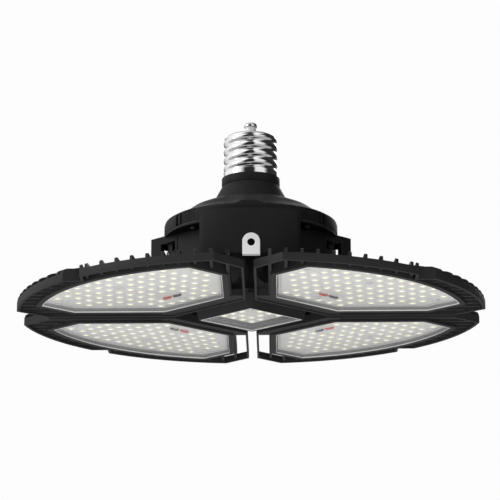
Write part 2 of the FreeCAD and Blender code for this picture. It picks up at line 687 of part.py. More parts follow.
loop(sk, [(to - tw, -(R + 0.02 + V["tab_thick"])), (to + tw, -(R + 0.02 + V["tab_thick"])), (to + tw, -(R + 0.02)), (to - tw, -(R + 0.02))])
pad(b, sk, 0.5)
place(b)

# --------------------------------------------------------------------- wings
S2 = math.sqrt(2)


def sw(X, Y):
    """Offsets from the two gap planes into the wing's own frame."""
    return ((X + Y) / S2, (Y - X) / S2)


def mirror(p):
    return (p[0], -p[1])


def lens_outline(off):
    """Lens outline grown by off, as straight and arc pieces."""
    a, bb, c, d, e = V["lens_a"], V["lens_b"], V["lens_c"], V["lens_d"], V["lens_e"]
    rad = math.hypot(d, e) + off
    base = [(a, bb), (a, c), (d, e)]
    # lines: inner chamfer x+y=a+bb, straight edge x=a, tip edge from (a,c) to (d,e)
    s_in = (a + bb) / S2 - off
    xa = a - off
    p1 = (xa, s_in * S2 - xa)
    nx, ny = -(e - c), (d - a)
    n = math.hypot(nx, ny)
    nx, ny = nx / n, ny / n
    px, py = a + nx * off, c + ny * off
    tx, ty = (d - a) / n, (e - c) / n
    t = (xa - px) / tx
    p2 = (xa, py + ty * t)
    bq = px * tx + py * ty
    t3 = -bq + math.sqrt(bq * bq - (px * px + py * py - rad * rad))
    p3 = (px + tx * t3, py + ty * t3)
    q1, q2, q3 = sw(*p1), sw(*p2), sw(*p3)
    return [(mirror(q1), q1), (q1, q2), (q2, q3), (q3, (rad, 0.0), mirror(q3)), (mirror(q3), mirror(q2)),
            (mirror(q2), mirror(q1))]


def wing_outline(inset):
    """Wing outline, or the inside of its rim when inset is set."""
    g = V["gap_half"] + (V["side_bar"] if inset else 0.0)
    wl = V["rim_wall"] if inset else 0.0
    rad = V["wing_rad"] - wl
    nt = V["notch"] - wl
    ie = V["inner_edge"] + wl * S2
    ce = V["chamfer_end"]
    A2 = (V["gap_half"], V["chamfer_start"])
    A3 = (ce, math.sqrt(V["wing_rad"] ** 2 - ce * ce))
    L = math.hypot(A3[0] - A2[0], A3[1] - A2[1])
    tx, ty = (A3[0] - A2[0]) / L, (A3[1] - A2[1]) / L
    px, py = A2[0] + ty * wl, A2[1] - tx * wl
    t = (g - px) / tx
    p2 = (g, py + ty * t)
    bq = px * tx + py * ty
    t3 = -bq + math.sqrt(bq * bq - (px * px + py * py - rad * rad))
    p3 = (px + tx * t3, py + ty * t3)
    p1 = (g, ie - g)
    p4 = (nt, math.sqrt(rad * rad - nt * nt))
    m = math.radians((math.degrees(math.atan2(p3[1], p3[0])) + math.degrees(math.atan2(p4[1], p4[0]))) / 2)
    pm = (rad * math.cos(m), rad * math.sin(m))
    p5 = (nt, nt)
    q1, q2, q3, q4, q5, qm = [sw(*p) for p in (p1, p2, p3, p4, p5, pm)]
    return [(mirror(q1), q1), (q1, q2), (q2, q3), (q3, qm, q4), (q4, q5), (q5, mirror(q4)),
            (mirror(q4), mirror(qm), mirror(q3)), (mirror(q3), mirror(q2)), (mirror(q2), mirror(q1))]


def led_points():
    """Rows along and across the wing, inside the board and clear of its screws and leads."""
    a, bb, c, d, e = V["lens_a"], V["lens_b"], V["lens_c"], V["lens_d"], V["lens_e"]
    m = 5.6
    out = []
    for i in range(20):
        for j in range(-10, 10):
            s, w = V["led_row"] * (i + 0.5), V["led_step"] * (j + 0.5)
            x, y = (s - w) / S2, (s + w) / S2
            ok = x > a + m and y > a + m and x + y > a + bb + m * S2 and math.hypot(x, y) < math.hypot(d, e) - m
            n = math.hypot(d - a, e - c)
            for u, v in ((x, y), (y, x)):
                # inside the tip edge
                if ((d - a) * (v - c) - (e - c) * (u - a)) / n > -m:
                    ok = False
            for hs, hw in SCREWS:
                if math.hypot(s - hs, w - hw) < 5.6:
                    ok = False
            if 69.5 < s < 80.5 and abs(w) < 13:
                ok = False
            if ok:
                out.append((s, w))
    return out


SCREWS = [(116.5, 64.0), (116.5, -64.0), (66.0, 0.0), (118.0, -6.0)]
LEDS = led_points()
print("LEDs per wing", len(LEDS))

ARM = [(46.6, 42.6), (44.6, 36.8), (41.0, 29.4), (37.4, 24.2), (36.6, 21.6), (37.6, 17.6), (43.6, 12.6),
       (52.0, 10.6), (59.5, 9.4), (59.5, 6.2), (50.2, 6.2), (49.6, 4.2), (41.2, 4.2), (40.6, 6.4), (38.0, 9.0), (34.4, 14.0),
       (33.0, 18.6), (33.2, 24.6), (36.2, 32.6), (38.6, 39.0), (39.3, 43.4)]


def build_wing(name, turn):
    b = new_body(name + "_heatsink")
    rl, rh = D("rim_low"), D("rim_high")
    sk = new_sketch(b, "XY_Plane", rl)
    path(sk, wing_outline(False))
    path(sk, wing_outline(True))
    pad(b, sk, rh - rl)
    # chevron fins, all from one angle piece
    sk = new_sketch(b, "XY_Plane", D("fin_low"))
    c0, ft = D("fin_first"), D("fin_thick")
    far = 190.0
    k = 1 / S2
    pts = [(c0, c0), (c0, q(far)), (c0 + ft, q(far)), (c0 + ft, c0 + ft), (q(far), c0 + ft), (q(far), c0)]
    loop(sk, [((X + Y) * k, (Y - X) * k) for X, Y in pts])
    fin = pad(b, sk, D("fin_high") - D("fin_low"))
    doc.recompute()
    pt = b.newObject("PartDesign::LinearPattern", name + "_fins")
    pt.Originals = [fin]
    pt.Direction = (origin_of(b, "X_Axis"), [""])
    pt.Length = 9 * V["fin_pitch"] * S2
    pt.setExpression("Length", "9 * Dims.fin_pitch * sqrt(2)")
    pt.Occurrences = 10
    b.Tip = pt
    # tray that carries the board and the lens
    sk = new_sketch(b, "XY_Plane", 0)
    path(sk, lens_outline(V["tray_edge"]))
    pad(b, sk, D("tray_high"))
    # inner plate
    sk = new_sketch(b, "XY_Plane", 1.0)
    gh, wn = V["gap_half"], V["window_near"]
    ie = V["inner_edge"]
    pts = [(gh, ie - gh), (gh, wn), (14.5, wn), (wn, 14.5), (wn, gh), (ie - gh, gh)]
    loop(sk, [sw(*p) for p in pts])
    pad(b, sk, 4.6)
    # wall along the notch
    sk = new_sketch(b, "XY_Plane", rl)
    nt, rw = V["notch"], V["rim_wall"]
    pts = [(nt - rw, nt - rw), (nt - rw, 130.0), (nt, 130.0), (nt, nt), (130.0, nt), (130.0, nt - rw)]
    loop(sk, [sw(*p) for p in pts])
    pad(b, sk, D("notch_high") - rl)
    # trim everything to the wing's outline
    sk = new_sketch(b, "XY_Plane", -2)
    path(sk, [((-60, -220), (300, -220)), ((300, -220), (300, 220)), ((300, 220), (-60, 220)), ((-60, 220), (-60, -220))])
    path(sk, wing_outline(False))
    cut_up(b, sk, 30)
    # lens seat, board seat, screw holes, wire hole
    sk = new_sketch(b, "XY_Plane", -1)
    path(sk, lens_outline(0.12))
    cut_up(b, sk, D("seat_deep") + 1)
    sk = new_sketch(b, "XY_Plane", D("seat_deep") - 0.5)
    path(sk, lens_outline(-3.0))
    cut_up(b, sk, D("board_thick") + 0.5)
    sk = new_sketch(b, "XY_Plane", 4.5)
    for s, w in SCREWS:
        ring(sk, s, w, D("screw_rad") + 0.05)
    cut_up(b, sk, 2.6)
    sk = new_sketch(b, "XY_Plane", 4.5)
    ring(sk, 75.0, 0, 3.0)
    cut_up(b, sk, 10)
    # the fins run down to rounded ends at the rim
    fh, wr = D("fin_high"), D("wing_rad")
    turn_profile(b, [(wr - 22.0, fh), (wr - 2.0, fh - 3.4), (wr - 0.9, fh - 3.9), (wr - 0.3, fh - 4.7),
                     (wr + 0.05, fh - 5.8), (wr + 4.0, fh - 5.8), (wr + 4.0, fh + 2.0), (wr - 22.0, fh + 2.0)], "Groove")
    # two bent arms up to the hinge, each with its pin hole
    for sgn in (1, -1):
        off = -(D("arm_in") + D("arm_thick")) if sgn > 0 else D("arm_in")
        sk = new_sketch(b, "XZ_Plane", off)
        ax, az, kr = V["axis_reach"], V["axis_height"], V["knuckle_rad"]
        p0, p1 = ARM[0], ARM[-1]
        n = len(ARM)
        # the knuckle closes the bent outline with an arc about the hinge axis
        a0 = math.atan2(p0[1] - az, p0[0] - ax)
        a1 = math.atan2(p1[1] - az, p1[0] - ax)
        s0 = (ax + kr * math.cos(a0), az + kr * math.sin(a0))
        s1 = (ax + kr * math.cos(a1), az + kr * math.sin(a1))
        pts = [s0] + ARM[1:-1] + [s1]
        segs = [(pts[i], pts[i + 1]) for i in range(len(pts) - 1)] + [(s1, (ax, az + kr), s0)]
        path(sk, segs)
        ring(sk, D("axis_reach"), D("axis_height"), D("pin_rad") + D("pin_clear"))
        pad(b, sk, D("arm_thick"))
    doc.recompute()
    place(b, turn)

    b = new_body(name + "_led_board")
    sk = new_sketch(b, "XY_Plane", D("seat_deep"))
    path(sk, lens_outline(-3.2))
    for s, w in SCREWS:
        ring(sk, s, w, D("screw_rad") + 0.05)
    pad(b, sk, D("board_thick"))
    place(b, turn)

    z = V["seat_deep"]
    h = V["led_side"] / 2
    shapes = []
    for s, w in LEDS:
        bx = Part.makeBox(2 * h, 2 * h, V["led_tall"], Vector(-h, -h, 0))
        bx.Placement = Placement(Vector(s, w, z - V["led_tall"]), Rotation(Vector(0, 0, 1), 0))
        shapes.append(bx)
    group(name + "_leds", shapes, turn)
    group(name + "_board_screws", [cyl(V["screw_head"], (s, w, z - 1.1), (s, w, z)).fuse(
        cyl(V["screw_rad"], (s, w, z), (s, w, z + 3.2))) for s, w in SCREWS], turn)

    b = new_body(name + "_lens_gasket")
    sk = new_sketch(b, "XY_Plane", D("lens_tall"))
    path(sk, lens_outline(-0.1))
    path(sk, lens_outline(-3.0))
    pad(b, sk, D("seat_deep") - D("lens_tall"))
    place(b, turn)

    b = new_body(name + "_lens")
    sk = new_sketch(b, "XY_Plane", 0)
    path(sk, lens_outline(0.0))
    pad(b, sk, D("lens_tall"))
    sk = new_sketch(b, "XY_Plane", D("lens_face"))
    path(sk, lens_outline(-V["lens_wall"]))
    cut_up(b, sk, 4.0)
    place(b, turn)

    for label, y in (("_lead_red", -1.0), ("_lead_black", 1.0)):
        c = doc.addObject("Part::Cylinder", name + label)
        c.Label = name + label
        c.Radius, c.Height = 0.85, 8.0
        place(c, turn, Placement(Vector(75.0, y, z - 1.0), Rotation(Vector(0, 0, 1), Vector(0, y, 0))))


for name, turn in (("rear_right", 45), ("rear_left", 135), ("front_left", 225), ("front_right", 315)):
    build_wing(name, turn)

doc.recompute()
bad = [o.Label for o in doc.Objects if "Invalid" in o.State or "Error" in o.State]
if bad:
    raise RuntimeError("failed objects: %s" % bad)
names = [o.Label for o in SUBPARTS]
if len(set(names)) != len(names):
    raise RuntimeError("label used twice")
os.makedirs("parts", exist_ok=True)
for o in SUBPARTS:
    if o.Shape.isNull() or not o.Shape.isValid():
        raise RuntimeError("bad shape: " + o.Label)
for o in SUBPARTS:
    o.Shape.exportStep("parts/%s.step" % o.Label)
    bb = o.Shape.BoundBox
    print("%-26s solids %3d vol %9.1f  x %.1f %.1f  y %.1f %.1f  z %.1f %.1f" % (
        o.Label, len(o.Shape.Solids), o.Shape.Volume, bb.XMin, bb.XMax, bb.YMin, bb.YMax,
        bb.ZMin + V["tip_height"], bb.ZMax + V["tip_height"]))
print(len(SUBPARTS), "sub-parts")
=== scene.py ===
import bpy, math, random
from mathutils import Matrix, Vector


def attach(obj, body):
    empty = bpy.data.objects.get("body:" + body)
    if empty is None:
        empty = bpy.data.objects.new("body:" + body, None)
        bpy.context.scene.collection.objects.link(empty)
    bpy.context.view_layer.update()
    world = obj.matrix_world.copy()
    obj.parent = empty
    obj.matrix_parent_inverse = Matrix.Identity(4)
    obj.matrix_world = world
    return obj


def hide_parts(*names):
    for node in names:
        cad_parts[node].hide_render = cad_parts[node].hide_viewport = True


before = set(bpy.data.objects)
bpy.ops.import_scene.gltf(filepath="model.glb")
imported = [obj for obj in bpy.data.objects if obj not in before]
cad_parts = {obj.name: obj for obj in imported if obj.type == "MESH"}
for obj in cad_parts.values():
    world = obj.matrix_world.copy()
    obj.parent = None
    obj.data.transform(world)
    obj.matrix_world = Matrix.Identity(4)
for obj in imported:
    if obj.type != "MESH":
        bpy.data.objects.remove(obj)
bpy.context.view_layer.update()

S2 = math.sqrt(2)
random.seed(7)
WINGS = (("rear_right", 45), ("rear_left", 135), ("front_left", 225), ("front_right", 315))


def Z(z):
    """Height above the wing lens plane in mm, as metres in the frame."""
    return (z - 144.0) / 1000.0


def P(x, y, z):
    return (x / 1000.0, y / 1000.0, Z(z))


def turned(turn, s, w):
    c, d = math.cos(math.radians(turn)), math.sin(math.radians(turn))
    return (s * c - w * d, s * d + w * c)


# ------------------------------------------------------------------ camera
az, el, roll = math.radians(-0.61), math.radians(12.77), math.radians(0.18)
fwd = Vector((math.sin(az) * math.cos(el), math.cos(az) * math.cos(el), math.sin(el)))
flat = Vector((math.sin(az), math.cos(az), 0))
right = Vector((math.cos(az), -math.sin(az), 0))
up = Vector((0, 0, 1)) * math.cos(el) - flat * math.sin(el)
r2 = right * math.cos(roll) - up * math.sin(roll)
u2 = right * math.sin(roll) + up * math.cos(roll)
axis = (fwd * 2027.0 + r2 * -1.18 + u2 * 67.55).normalized()
r3 = (r2 - axis * r2.dot(axis)).normalized()
u3 = r3.cross(axis).normalized()
cam_data = bpy.data.cameras.new("camera")
cam = bpy.data.objects.new("camera", cam_data)
bpy.context.scene.collection.objects.link(cam)
cam_data.sensor_fit = "HORIZONTAL"
cam_data.sensor_width = 36.0
cam_data.lens = 2027.0 / 500.0 * 36.0
cam_data.clip_start, cam_data.clip_end = 0.05, 30.0
m = Matrix((r3, u3, -axis)).transposed().to_4x4()
m.translation = Vector((0, 0, -0.144)) - fwd * 1.429
cam.matrix_world = m
bpy.context.scene.camera = cam

# ------------------------------------------------------------------- light
sc = bpy.context.scene
sc.view_settings.view_transform = "Standard"
sc.view_settings.look = "None"
world = bpy.data.worlds.new("studio")
sc.world = world
world.use_nodes = True
nt = world.node_tree
nt.nodes.clear()
wo = nt.nodes.new("ShaderNodeOutputWorld")
mixw = nt.nodes.new("ShaderNodeMixShader")
lp = nt.nodes.new("ShaderNodeLightPath")
b_cam = nt.nodes.new("ShaderNodeBackground")
b_cam.inputs["Color"].default_value = (0.98, 0.98, 0.98, 1)
b_cam.inputs["Strength"].default_value = 1.0
b_env = nt.nodes.new("ShaderNodeBackground")
b_env.inputs["Strength"].default_value = 1.35
tc = nt.nodes.new("ShaderNodeTexCoord")
sep = nt.nodes.new("ShaderNodeSeparateXYZ")
neg = nt.nodes.new("ShaderNodeMath")
neg.operation = "MULTIPLY"
neg.inputs[1].default_value = -1.0
turn_ = nt.nodes.new("ShaderNodeMath")
turn_.operation = "ARCTAN2"
mr = nt.nodes.new("ShaderNodeMapRange")
mr.inputs["From Min"].default_value = -math.pi
mr.inputs["From Max"].default_value = math.pi
rampw = nt.nodes.new("ShaderNodeValToRGB")
ce = rampw.color_ramp
# brightness by azimuth in degrees, 0 towards the camera, positive to the right
STUDIO = ((-180, 0.22), (-150, 0.18), (-138, 0.60), (-122, 0.90), (-44, 0.90), (-32, 0.35), (-24, 0.02), (14, 0.02),
          (22, 0.70), (32, 0.78), (58, 0.74), (70, 0.10), (78, 0.02), (138, 0.03), (152, 0.26), (180, 0.22))
for k, (deg, g) in enumerate(STUDIO):
    pos = (deg + 180.0) / 360.0
    if k == 0:
        el_ = ce.elements[0]
        el_.position = pos
    elif k == len(STUDIO) - 1:
        el_ = ce.elements[-1]
        el_.position = pos
    else:
        el_ = ce.elements.new(pos)
    el_.color = (g, g, g * 1.01, 1)
low = nt.nodes.new("ShaderNodeMapRange")
low.inputs["From Min"].default_value = -0.9
low.inputs["From Max"].default_value = 0.35
low.inputs["To Min"].default_value = 0.45
low.inputs["To Max"].default_value = 1.0
mul = nt.nodes.new("ShaderNodeMix")
mul.data_type = "RGBA"
mul.blend_type = "MULTIPLY"
mul.inputs[0].default_value = 1.0
nt.links.new(tc.outputs["Generated"], sep.inputs[0])
nt.links.new(sep.outputs["Y"], neg.inputs[0])
nt.links.new(sep.outputs["X"], turn_.inputs[0])
nt.links.new(neg.outputs[0], turn_.inputs[1])
nt.links.new(turn_.outputs[0], mr.inputs["Value"])
nt.links.new(mr.outputs["Result"], rampw.inputs["Fac"])
nt.links.new(sep.outputs["Z"], low.inputs["Value"])
nt.links.new(rampw.outputs["Color"], mul.inputs[6])
nt.links.new(low.outputs["Result"], mul.inputs[7])
nt.links.new(mul.outputs[2], b_env.inputs["Color"])
nt.links.new(lp.outputs["Is Camera Ray"], mixw.inputs["Fac"])
nt.links.new(b_env.outputs[0], mixw.inputs[1])
nt.links.new(b_cam.outputs[0], mixw.inputs[2])
nt.links.new(mixw.outputs[0], wo.inputs["Surface"])


def softbox(name, loc, aim, sx, sy, power):
    d = bpy.data.lights.new(name, "AREA")
    d.shape = "RECTANGLE"
    d.size, d.size_y = sx, sy
    d.energy = power
    o = bpy.data.objects.new(name, d)
    sc.collection.objects.link(o)
    o.location = loc
    o.rotation_euler = (Vector(aim) - Vector(loc)).to_track_quat("-Z", "Y").to_euler()
    return o


MID = (0, 0, -0.07)
softbox("key_left", (-1.25, -0.55, 0.30), MID, 0.5, 1.1, 5)
softbox("top", (0.0, 0.15, 1.3), MID, 1.2, 1.2, 1.2)
softbox("rim_back", (0.2, 1.3, 0.5), MID, 1.4, 0.6, 4)
fill = softbox("low_front", (0.0, -1.1, -0.95), (0, 0, -0.14), 1.2, 0.5, 13)
fill.visible_glossy = False

# ------------------------------------------------------------------- floor
bpy.ops.mesh.primitive_grid_add(x_subdivisions=2, y_subdivisions=2, size=8.0, location=(0, 0, -1.5))
floor = bpy.context.object
floor.name = "floor"


# --------------------------------------------------------------- materials
def material(name, color, rough, metal=0.0, coat=0.0, spec=0.5, grain=900.0, tint=0.06, rvar=0.08,
             bump=0.15, depth=0.0002, alpha=None, emit=None, streak=None):
    """Principled surface whose colour, roughness and fine relief come from noise."""
    mt = bpy.data.materials.new(name)
    mt.use_nodes = True
    t = mt.node_tree
    p = t.nodes["Principled BSDF"]
    p.inputs["Metallic"].default_value = metal
    p.inputs["Specular IOR Level"].default_value = spec
    if coat:
        p.inputs["Coat Weight"].default_value = coat
        p.inputs["Coat Roughness"].default_value = 0.12
    co = t.nodes.new("ShaderNodeTexCoord")
    src = co.outputs["Object"]
    if streak:
        mp = t.nodes.new("ShaderNodeMapping")
        mp.inputs["Scale"].default_value = streak
        t.links.new(src, mp.inputs["Vector"])
        src = mp.outputs["Vector"]
    fine = t.nodes.new("ShaderNodeTexNoise")
    fine.inputs["Scale"].default_value = grain
    fine.inputs["Detail"].default_value = 4.0
    t.links.new(src, fine.inputs["Vector"])
    broad = t.nodes.new("ShaderNodeTexNoise")
    broad.inputs["Scale"].default_value = grain / 28.0
    broad.inputs["Detail"].default_value = 3.0
    t.links.new(src, broad.inputs["Vector"])
    ramp = t.nodes.new("ShaderNodeValToRGB")
    lo = [max(0.0, c * (1 - tint)) for c in color]
    hi = [min(1.0, c * (1 + tint)) for c in color]
    ramp.color_ramp.elements[0].position, ramp.color_ramp.elements[1].position = 0.3, 0.7
    ramp.color_ramp.elements[0].color = (*lo, 1)
    ramp.color_ramp.elements[1].color = (*hi, 1)
    t.links.new(broad.outputs["Fac"], ramp.inputs["Fac"])
    t.links.new(ramp.outputs["Color"], p.inputs["Base Color"])
    rr = t.nodes.new("ShaderNodeMapRange")
    rr.inputs["To Min"].default_value = max(0.02, rough - rvar)
    rr.inputs["To Max"].default_value = min(1.0, rough + rvar)
    t.links.new(fine.outputs["Fac"], rr.inputs["Value"])
    t.links.new(rr.outputs["Result"], p.inputs["Roughness"])
    if bump:
        bp = t.nodes.new("ShaderNodeBump")
        bp.inputs["Strength"].default_value = bump
        bp.inputs["Distance"].default_value = depth
        t.links.new(fine.outputs["Fac"], bp.inputs["Height"])
        t.links.new(bp.outputs["Normal"], p.inputs["Normal"])
    if alpha is not None:
        p.inputs["Alpha"].default_value = alpha
    # emission here is painted light: the glow of the LED phosphor and the bright line on the lens edge
    if emit:
        p.inputs["Emission Color"].default_value = (*emit[0], 1)
        p.inputs["Emission Strength"].default_value = emit[1]
    return mt


M = {
    "cast_black": material("cast_black", (0.020, 0.020, 0.0204), 0.48, spec=0.12, grain=1400, bump=0.35, depth=0.00012),
    "housing_black": material("housing_black", (0.019, 0.019, 0.0194), 0.48, spec=0.07, grain=1700, bump=0.22, depth=0.0001),
    "shell_nickel": material("shell_nickel", (0.76, 0.76, 0.755), 0.09, metal=1.0, grain=700, tint=0.03, rvar=0.03,
                             bump=0.04, depth=0.0001, streak=(1, 1, 6)),
    "contact_solder": material("contact_solder", (0.60, 0.60, 0.59), 0.20, metal=1.0, grain=520, tint=0.10, bump=0.5, depth=0.0003),
    "base_ceramic": material("base_ceramic", (0.84, 0.84, 0.82), 0.16, coat=0.5, grain=420, tint=0.02, rvar=0.04, bump=0.05),
    "gasket_black": material("gasket_black", (0.02, 0.02, 0.02), 0.72, grain=1500, bump=0.3),
    "gasket_grey": material("gasket_grey", (0.09, 0.093, 0.088), 0.6, grain=1500, bump=0.25),
    "gasket_pale": material("gasket_pale", (0.55, 0.55, 0.54), 0.66, grain=1500, bump=0.3),
    "board_white": material("board_white", (0.67, 0.665, 0.64), 0.38, grain=1200, tint=0.02, bump=0.12, coat=0.2),
    "board_green": material("board_green", (0.03, 0.16, 0.07), 0.36, grain=1200, bump=0.12, coat=0.3),
    "led_frame": material("led_frame", (0.80, 0.79, 0.74), 0.42, grain=2400, tint=0.02, bump=0.08),
    # phosphor colour plus emission: a painted glow, the LEDs are not lit
    "led_phosphor_painted_glow": material("led_phosphor_painted_glow", (0.96, 0.90, 0.62), 0.5, grain=3200, tint=0.03, bump=0.2,
                             emit=((1.0, 0.95, 0.78), 0.42)),
    "lens_face": material("lens_face", (0.90, 0.91, 0.92), 0.10, grain=300, tint=0.01, rvar=0.03, bump=0.03, alpha=0.12),
    "lens_wall": material("lens_wall", (0.28, 0.285, 0.28), 0.22, grain=900, tint=0.06, bump=0.10, alpha=0.62),
    # light grey colour plus a little emission on the rounded lens edge: a painted highlight line
    "lens_edge_painted_highlight": material("lens_edge_painted_highlight", (0.74, 0.75, 0.74), 0.16, grain=900, tint=0.03, bump=0.05, coat=0.4,
                          emit=((1.0, 1.0, 0.98), 0.08)),
    "screw_steel": material("screw_steel", (0.88, 0.88, 0.87), 0.34, metal=1.0, grain=1600, tint=0.04, bump=0.08),
    "pin_steel": material("pin_steel", (0.42, 0.42, 0.42), 0.30, metal=1.0, grain=1500, tint=0.05, bump=0.08),
    "screw_black": material("screw_black", (0.012, 0.012, 0.012), 0.42, grain=1600, bump=0.15),
    "washer_nylon": material("washer_nylon", (0.05, 0.05, 0.05), 0.5, grain=1400, bump=0.1),
    "core_iron": material("core_iron", (0.16, 0.16, 0.17), 0.45, metal=1.0, grain=1100, streak=(1, 12, 1)),
    "winding_copper": material("winding_copper", (0.62, 0.27, 0.12), 0.32, metal=1.0, grain=900, streak=(1, 1, 10)),
    "capacitor_sleeve": material("capacitor_sleeve", (0.02, 0.03, 0.10), 0.28, grain=700, coat=0.4),
    "chip_black": material("chip_black", (0.02, 0.02, 0.022), 0.55, grain=2200, bump=0.25),
    "wire_red": material("wire_red", (0.55, 0.015, 0.012), 0.34, grain=1100, tint=0.05, bump=0.06),
    "wire_black": material("wire_black", (0.012, 0.012, 0.012), 0.34, grain=1100, bump=0.06),
    "tab_white": material("tab_white", (0.93, 0.93, 0.92), 0.40, grain=1200, tint=0.02, bump=0.10),
    "floor": material("floor_paper", (0.86, 0.86, 0.85), 0.8, grain=60, tint=0.01, bump=0.0),
}
floor.data.materials.clear()
floor.data.materials.append(M["floor"])

CENTRE = {
    "screw_shell": "shell_nickel", "contact_insulator": "base_ceramic", "center_contact": "contact_solder",
    "neck_collar": "housing_black", "driver_cap": "housing_black", "cap_gasket": "gasket_black",
    "driver_housing": "housing_black", "cap_screws": "screw_black", "driver_board": "board_green",
    "transformer_core": "core_iron", "transformer_winding": "winding_copper", "driver_capacitors": "capacitor_sleeve",
    "driver_chips": "chip_black", "base_leads": "wire_black", "hinge_frame": "cast_black", "hinge_pins": "pin_steel",
    "hinge_nuts": "pin_steel", "friction_washers": "washer_nylon", "center_housing": "cast_black",
    "module_screws": "screw_steel", "center_lens": "lens_face", "center_gasket": "gasket_grey",
    "center_board": "board_white", "center_leds": "led_frame", "center_board_screws": "screw_steel",
    "center_lead_red": "wire_red", "center_lead_black": "wire_black", "tether_tab": "tab_white",
}
WING = {
    "heatsink": "cast_black", "led_board": "board_white", "leds": "led_frame", "board_screws": "screw_steel",
    "lens_gasket": "gasket_pale", "lens": "lens_face", "lead_red": "wire_red", "lead_black": "wire_black",
}
FINISH = dict(CENTRE)
for wn, _t in WINGS:
    for k, v in WING.items():
        FINISH[wn + "_" + k] = v
for node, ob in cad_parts.items():
    mt = M[FINISH[node]]
    if len(ob.material_slots):
        for sl in ob.material_slots:
            sl.material = mt
    else:
        ob.data.materials.append(mt)

# soften the edges of the cast and moulded parts
SOFT = {"driver_housing": 0.45, "driver_cap": 0.35, "neck_collar": 0.4, "center_housing": 0.4, "tether_tab": 0.25,
        "hinge_frame": 0.35, "hinge_nuts": 0.2, "contact_insulator": 0.25}
for wn, _t in WINGS:
    SOFT[wn + "_heatsink"] = 0.3
for node, width in SOFT.items():
    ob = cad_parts[node]
    wd = ob.modifiers.new("weld", "WELD")
    wd.merge_threshold = 0.00001
    bv = ob.modifiers.new("soft_edges", "BEVEL")
    bv.width = width / 1000.0
    bv.segments = 2
    bv.limit_method = "ANGLE"
    bv.angle_limit = math.radians(38)
    bv.harden_normals = False


# ---------------------------------------------------------------- builders
def mesh_piece(name, verts, faces, mats, idx=None, smooth=True, sharp=32):
    me = bpy.data.meshes.new(name)
    me.from_pydata(verts, [], faces)
    for mt in mats:
        me.materials.append(mt)
    if idx:
        for f, k in zip(me.polygons, idx):
            f.material_index = k
    me.validate()
    me.update()
    if smooth:
        me.shade_smooth()
        me.set_sharp_from_angle(angle=math.radians(sharp))
    ob = bpy.data.objects.new(name, me)
    sc.collection.objects.link(ob)
    return ob


def rings_to_faces(rows, n, cap_start=True, cap_end=True, base=0):
    f = []
    for r in range(rows - 1):
        for i in range(n):
            j = (i + 1) % n
            f.append((base + r * n + i, base + r * n + j, base + (r + 1) * n + j, base + (r + 1) * n + i))
    if cap_start:
        f.append(tuple(base + i for i in reversed(range(n))))
    if cap_end:
        f.append(tuple(base + (rows - 1) * n + i for i in range(n)))
    return f


def finish_piece(ob, body, node):
    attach(ob, body)
    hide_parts(*([node] if isinstance(node, str) else node))
    return ob


# ------------------------------------------------------------- screw shell
def thread_radius(theta, z):
    lift = 6.35 * (theta + math.pi / 2) / (2 * math.pi)
    ph = 2 * math.pi * (z - 106.6 - lift) / 6.35
    wave = 0.5 - 0.5 * math.cos(ph)          # 0 in the valley, 1 on the crest
    wave = wave ** 0.7
    thread = 18.3 + (19.6 - 18.3) * wave
    a = min(1.0, max(0.0, (z - 104.9) / 1.5))
    c = min(1.0, max(0.0, (130.7 - z) / 1.8))
    a, c = a * a * (3 - 2 * a), c * c * (3 - 2 * c)
    r = 19.72 * (1 - a) + thread * a
    return r * c + 19.05 * (1 - c)


NT = 216
zs = [101.4 + 0.16 * i for i in range(int((130.7 - 101.4) / 0.16) + 1)]
verts, rows = [], 0


def add_row(fr, z):
    global rows
    for i in range(NT):
        th = 2 * math.pi * i / NT
        r = fr(th) if callable(fr) else fr
        verts.append(P(r * math.cos(th), r * math.sin(th), z))
    rows += 1


add_row(17.5, 101.4)
add_row(19.5, 101.4)
for z in zs[1:]:
    add_row(lambda th, z=z: thread_radius(th, z), z)
for r, z in ((18.9, 131.05), (18.4, 131.7), (17.5, 132.4), (16.0, 132.95), (14.0, 133.4), (12.0, 133.6), (9.9, 133.7),
             (9.65, 133.55), (9.65, 132.6), (13.6, 132.2), (16.2, 131.4), (17.4, 129.7)):
    add_row(r, z)
faces = rings_to_faces(rows, NT, False, False)
for i in range(NT):
    j = (i + 1) % NT
    faces.append(((rows - 1) * NT + i, (rows - 1) * NT + j, j, i))
shell = mesh_piece("threaded_shell", verts, faces, [M["shell_nickel"]], sharp=40)
finish_piece(shell, "hub", "screw_shell")


def lathe(name, prof, n, mats, jitter=None, sharp=32):
    v, f = [], []
    for r, z in prof:
        for i in range(n):
            th = 2 * math.pi * i / n
            rr = r * (1 + (jitter(th, z) if jitter else 0.0))
            v.append(P(rr * math.cos(th), rr * math.sin(th), z))
    return mesh_piece(name, v, rings_to_faces(len(prof), n), mats, sharp=sharp)


tip = lathe("solder_contact", [(1.35, 127.2), (1.35, 140.25), (4.3, 140.25), (4.8, 140.5), (4.95, 141.0), (4.85, 141.8),
                               (4.5, 142.5), (3.9, 143.1), (3.0, 143.55), (2.1, 143.82), (1.1, 143.95), (0.3, 144.0)],
            56, [M["contact_solder"]],
            jitter=lambda th, z: 0.0 if z < 140.9 else -0.018 * (1 + math.sin(3 * th + 0.7 * z)))
finish_piece(tip, "hub", "center_contact")


# ------------------------------------------------------------------- lenses
LA, LB, LC, LD, LE = 17.6, 59.8, 123.0, 38.1, 143.6


def sw(x, y):
    return ((x + y) / S2, (y - x) / S2)


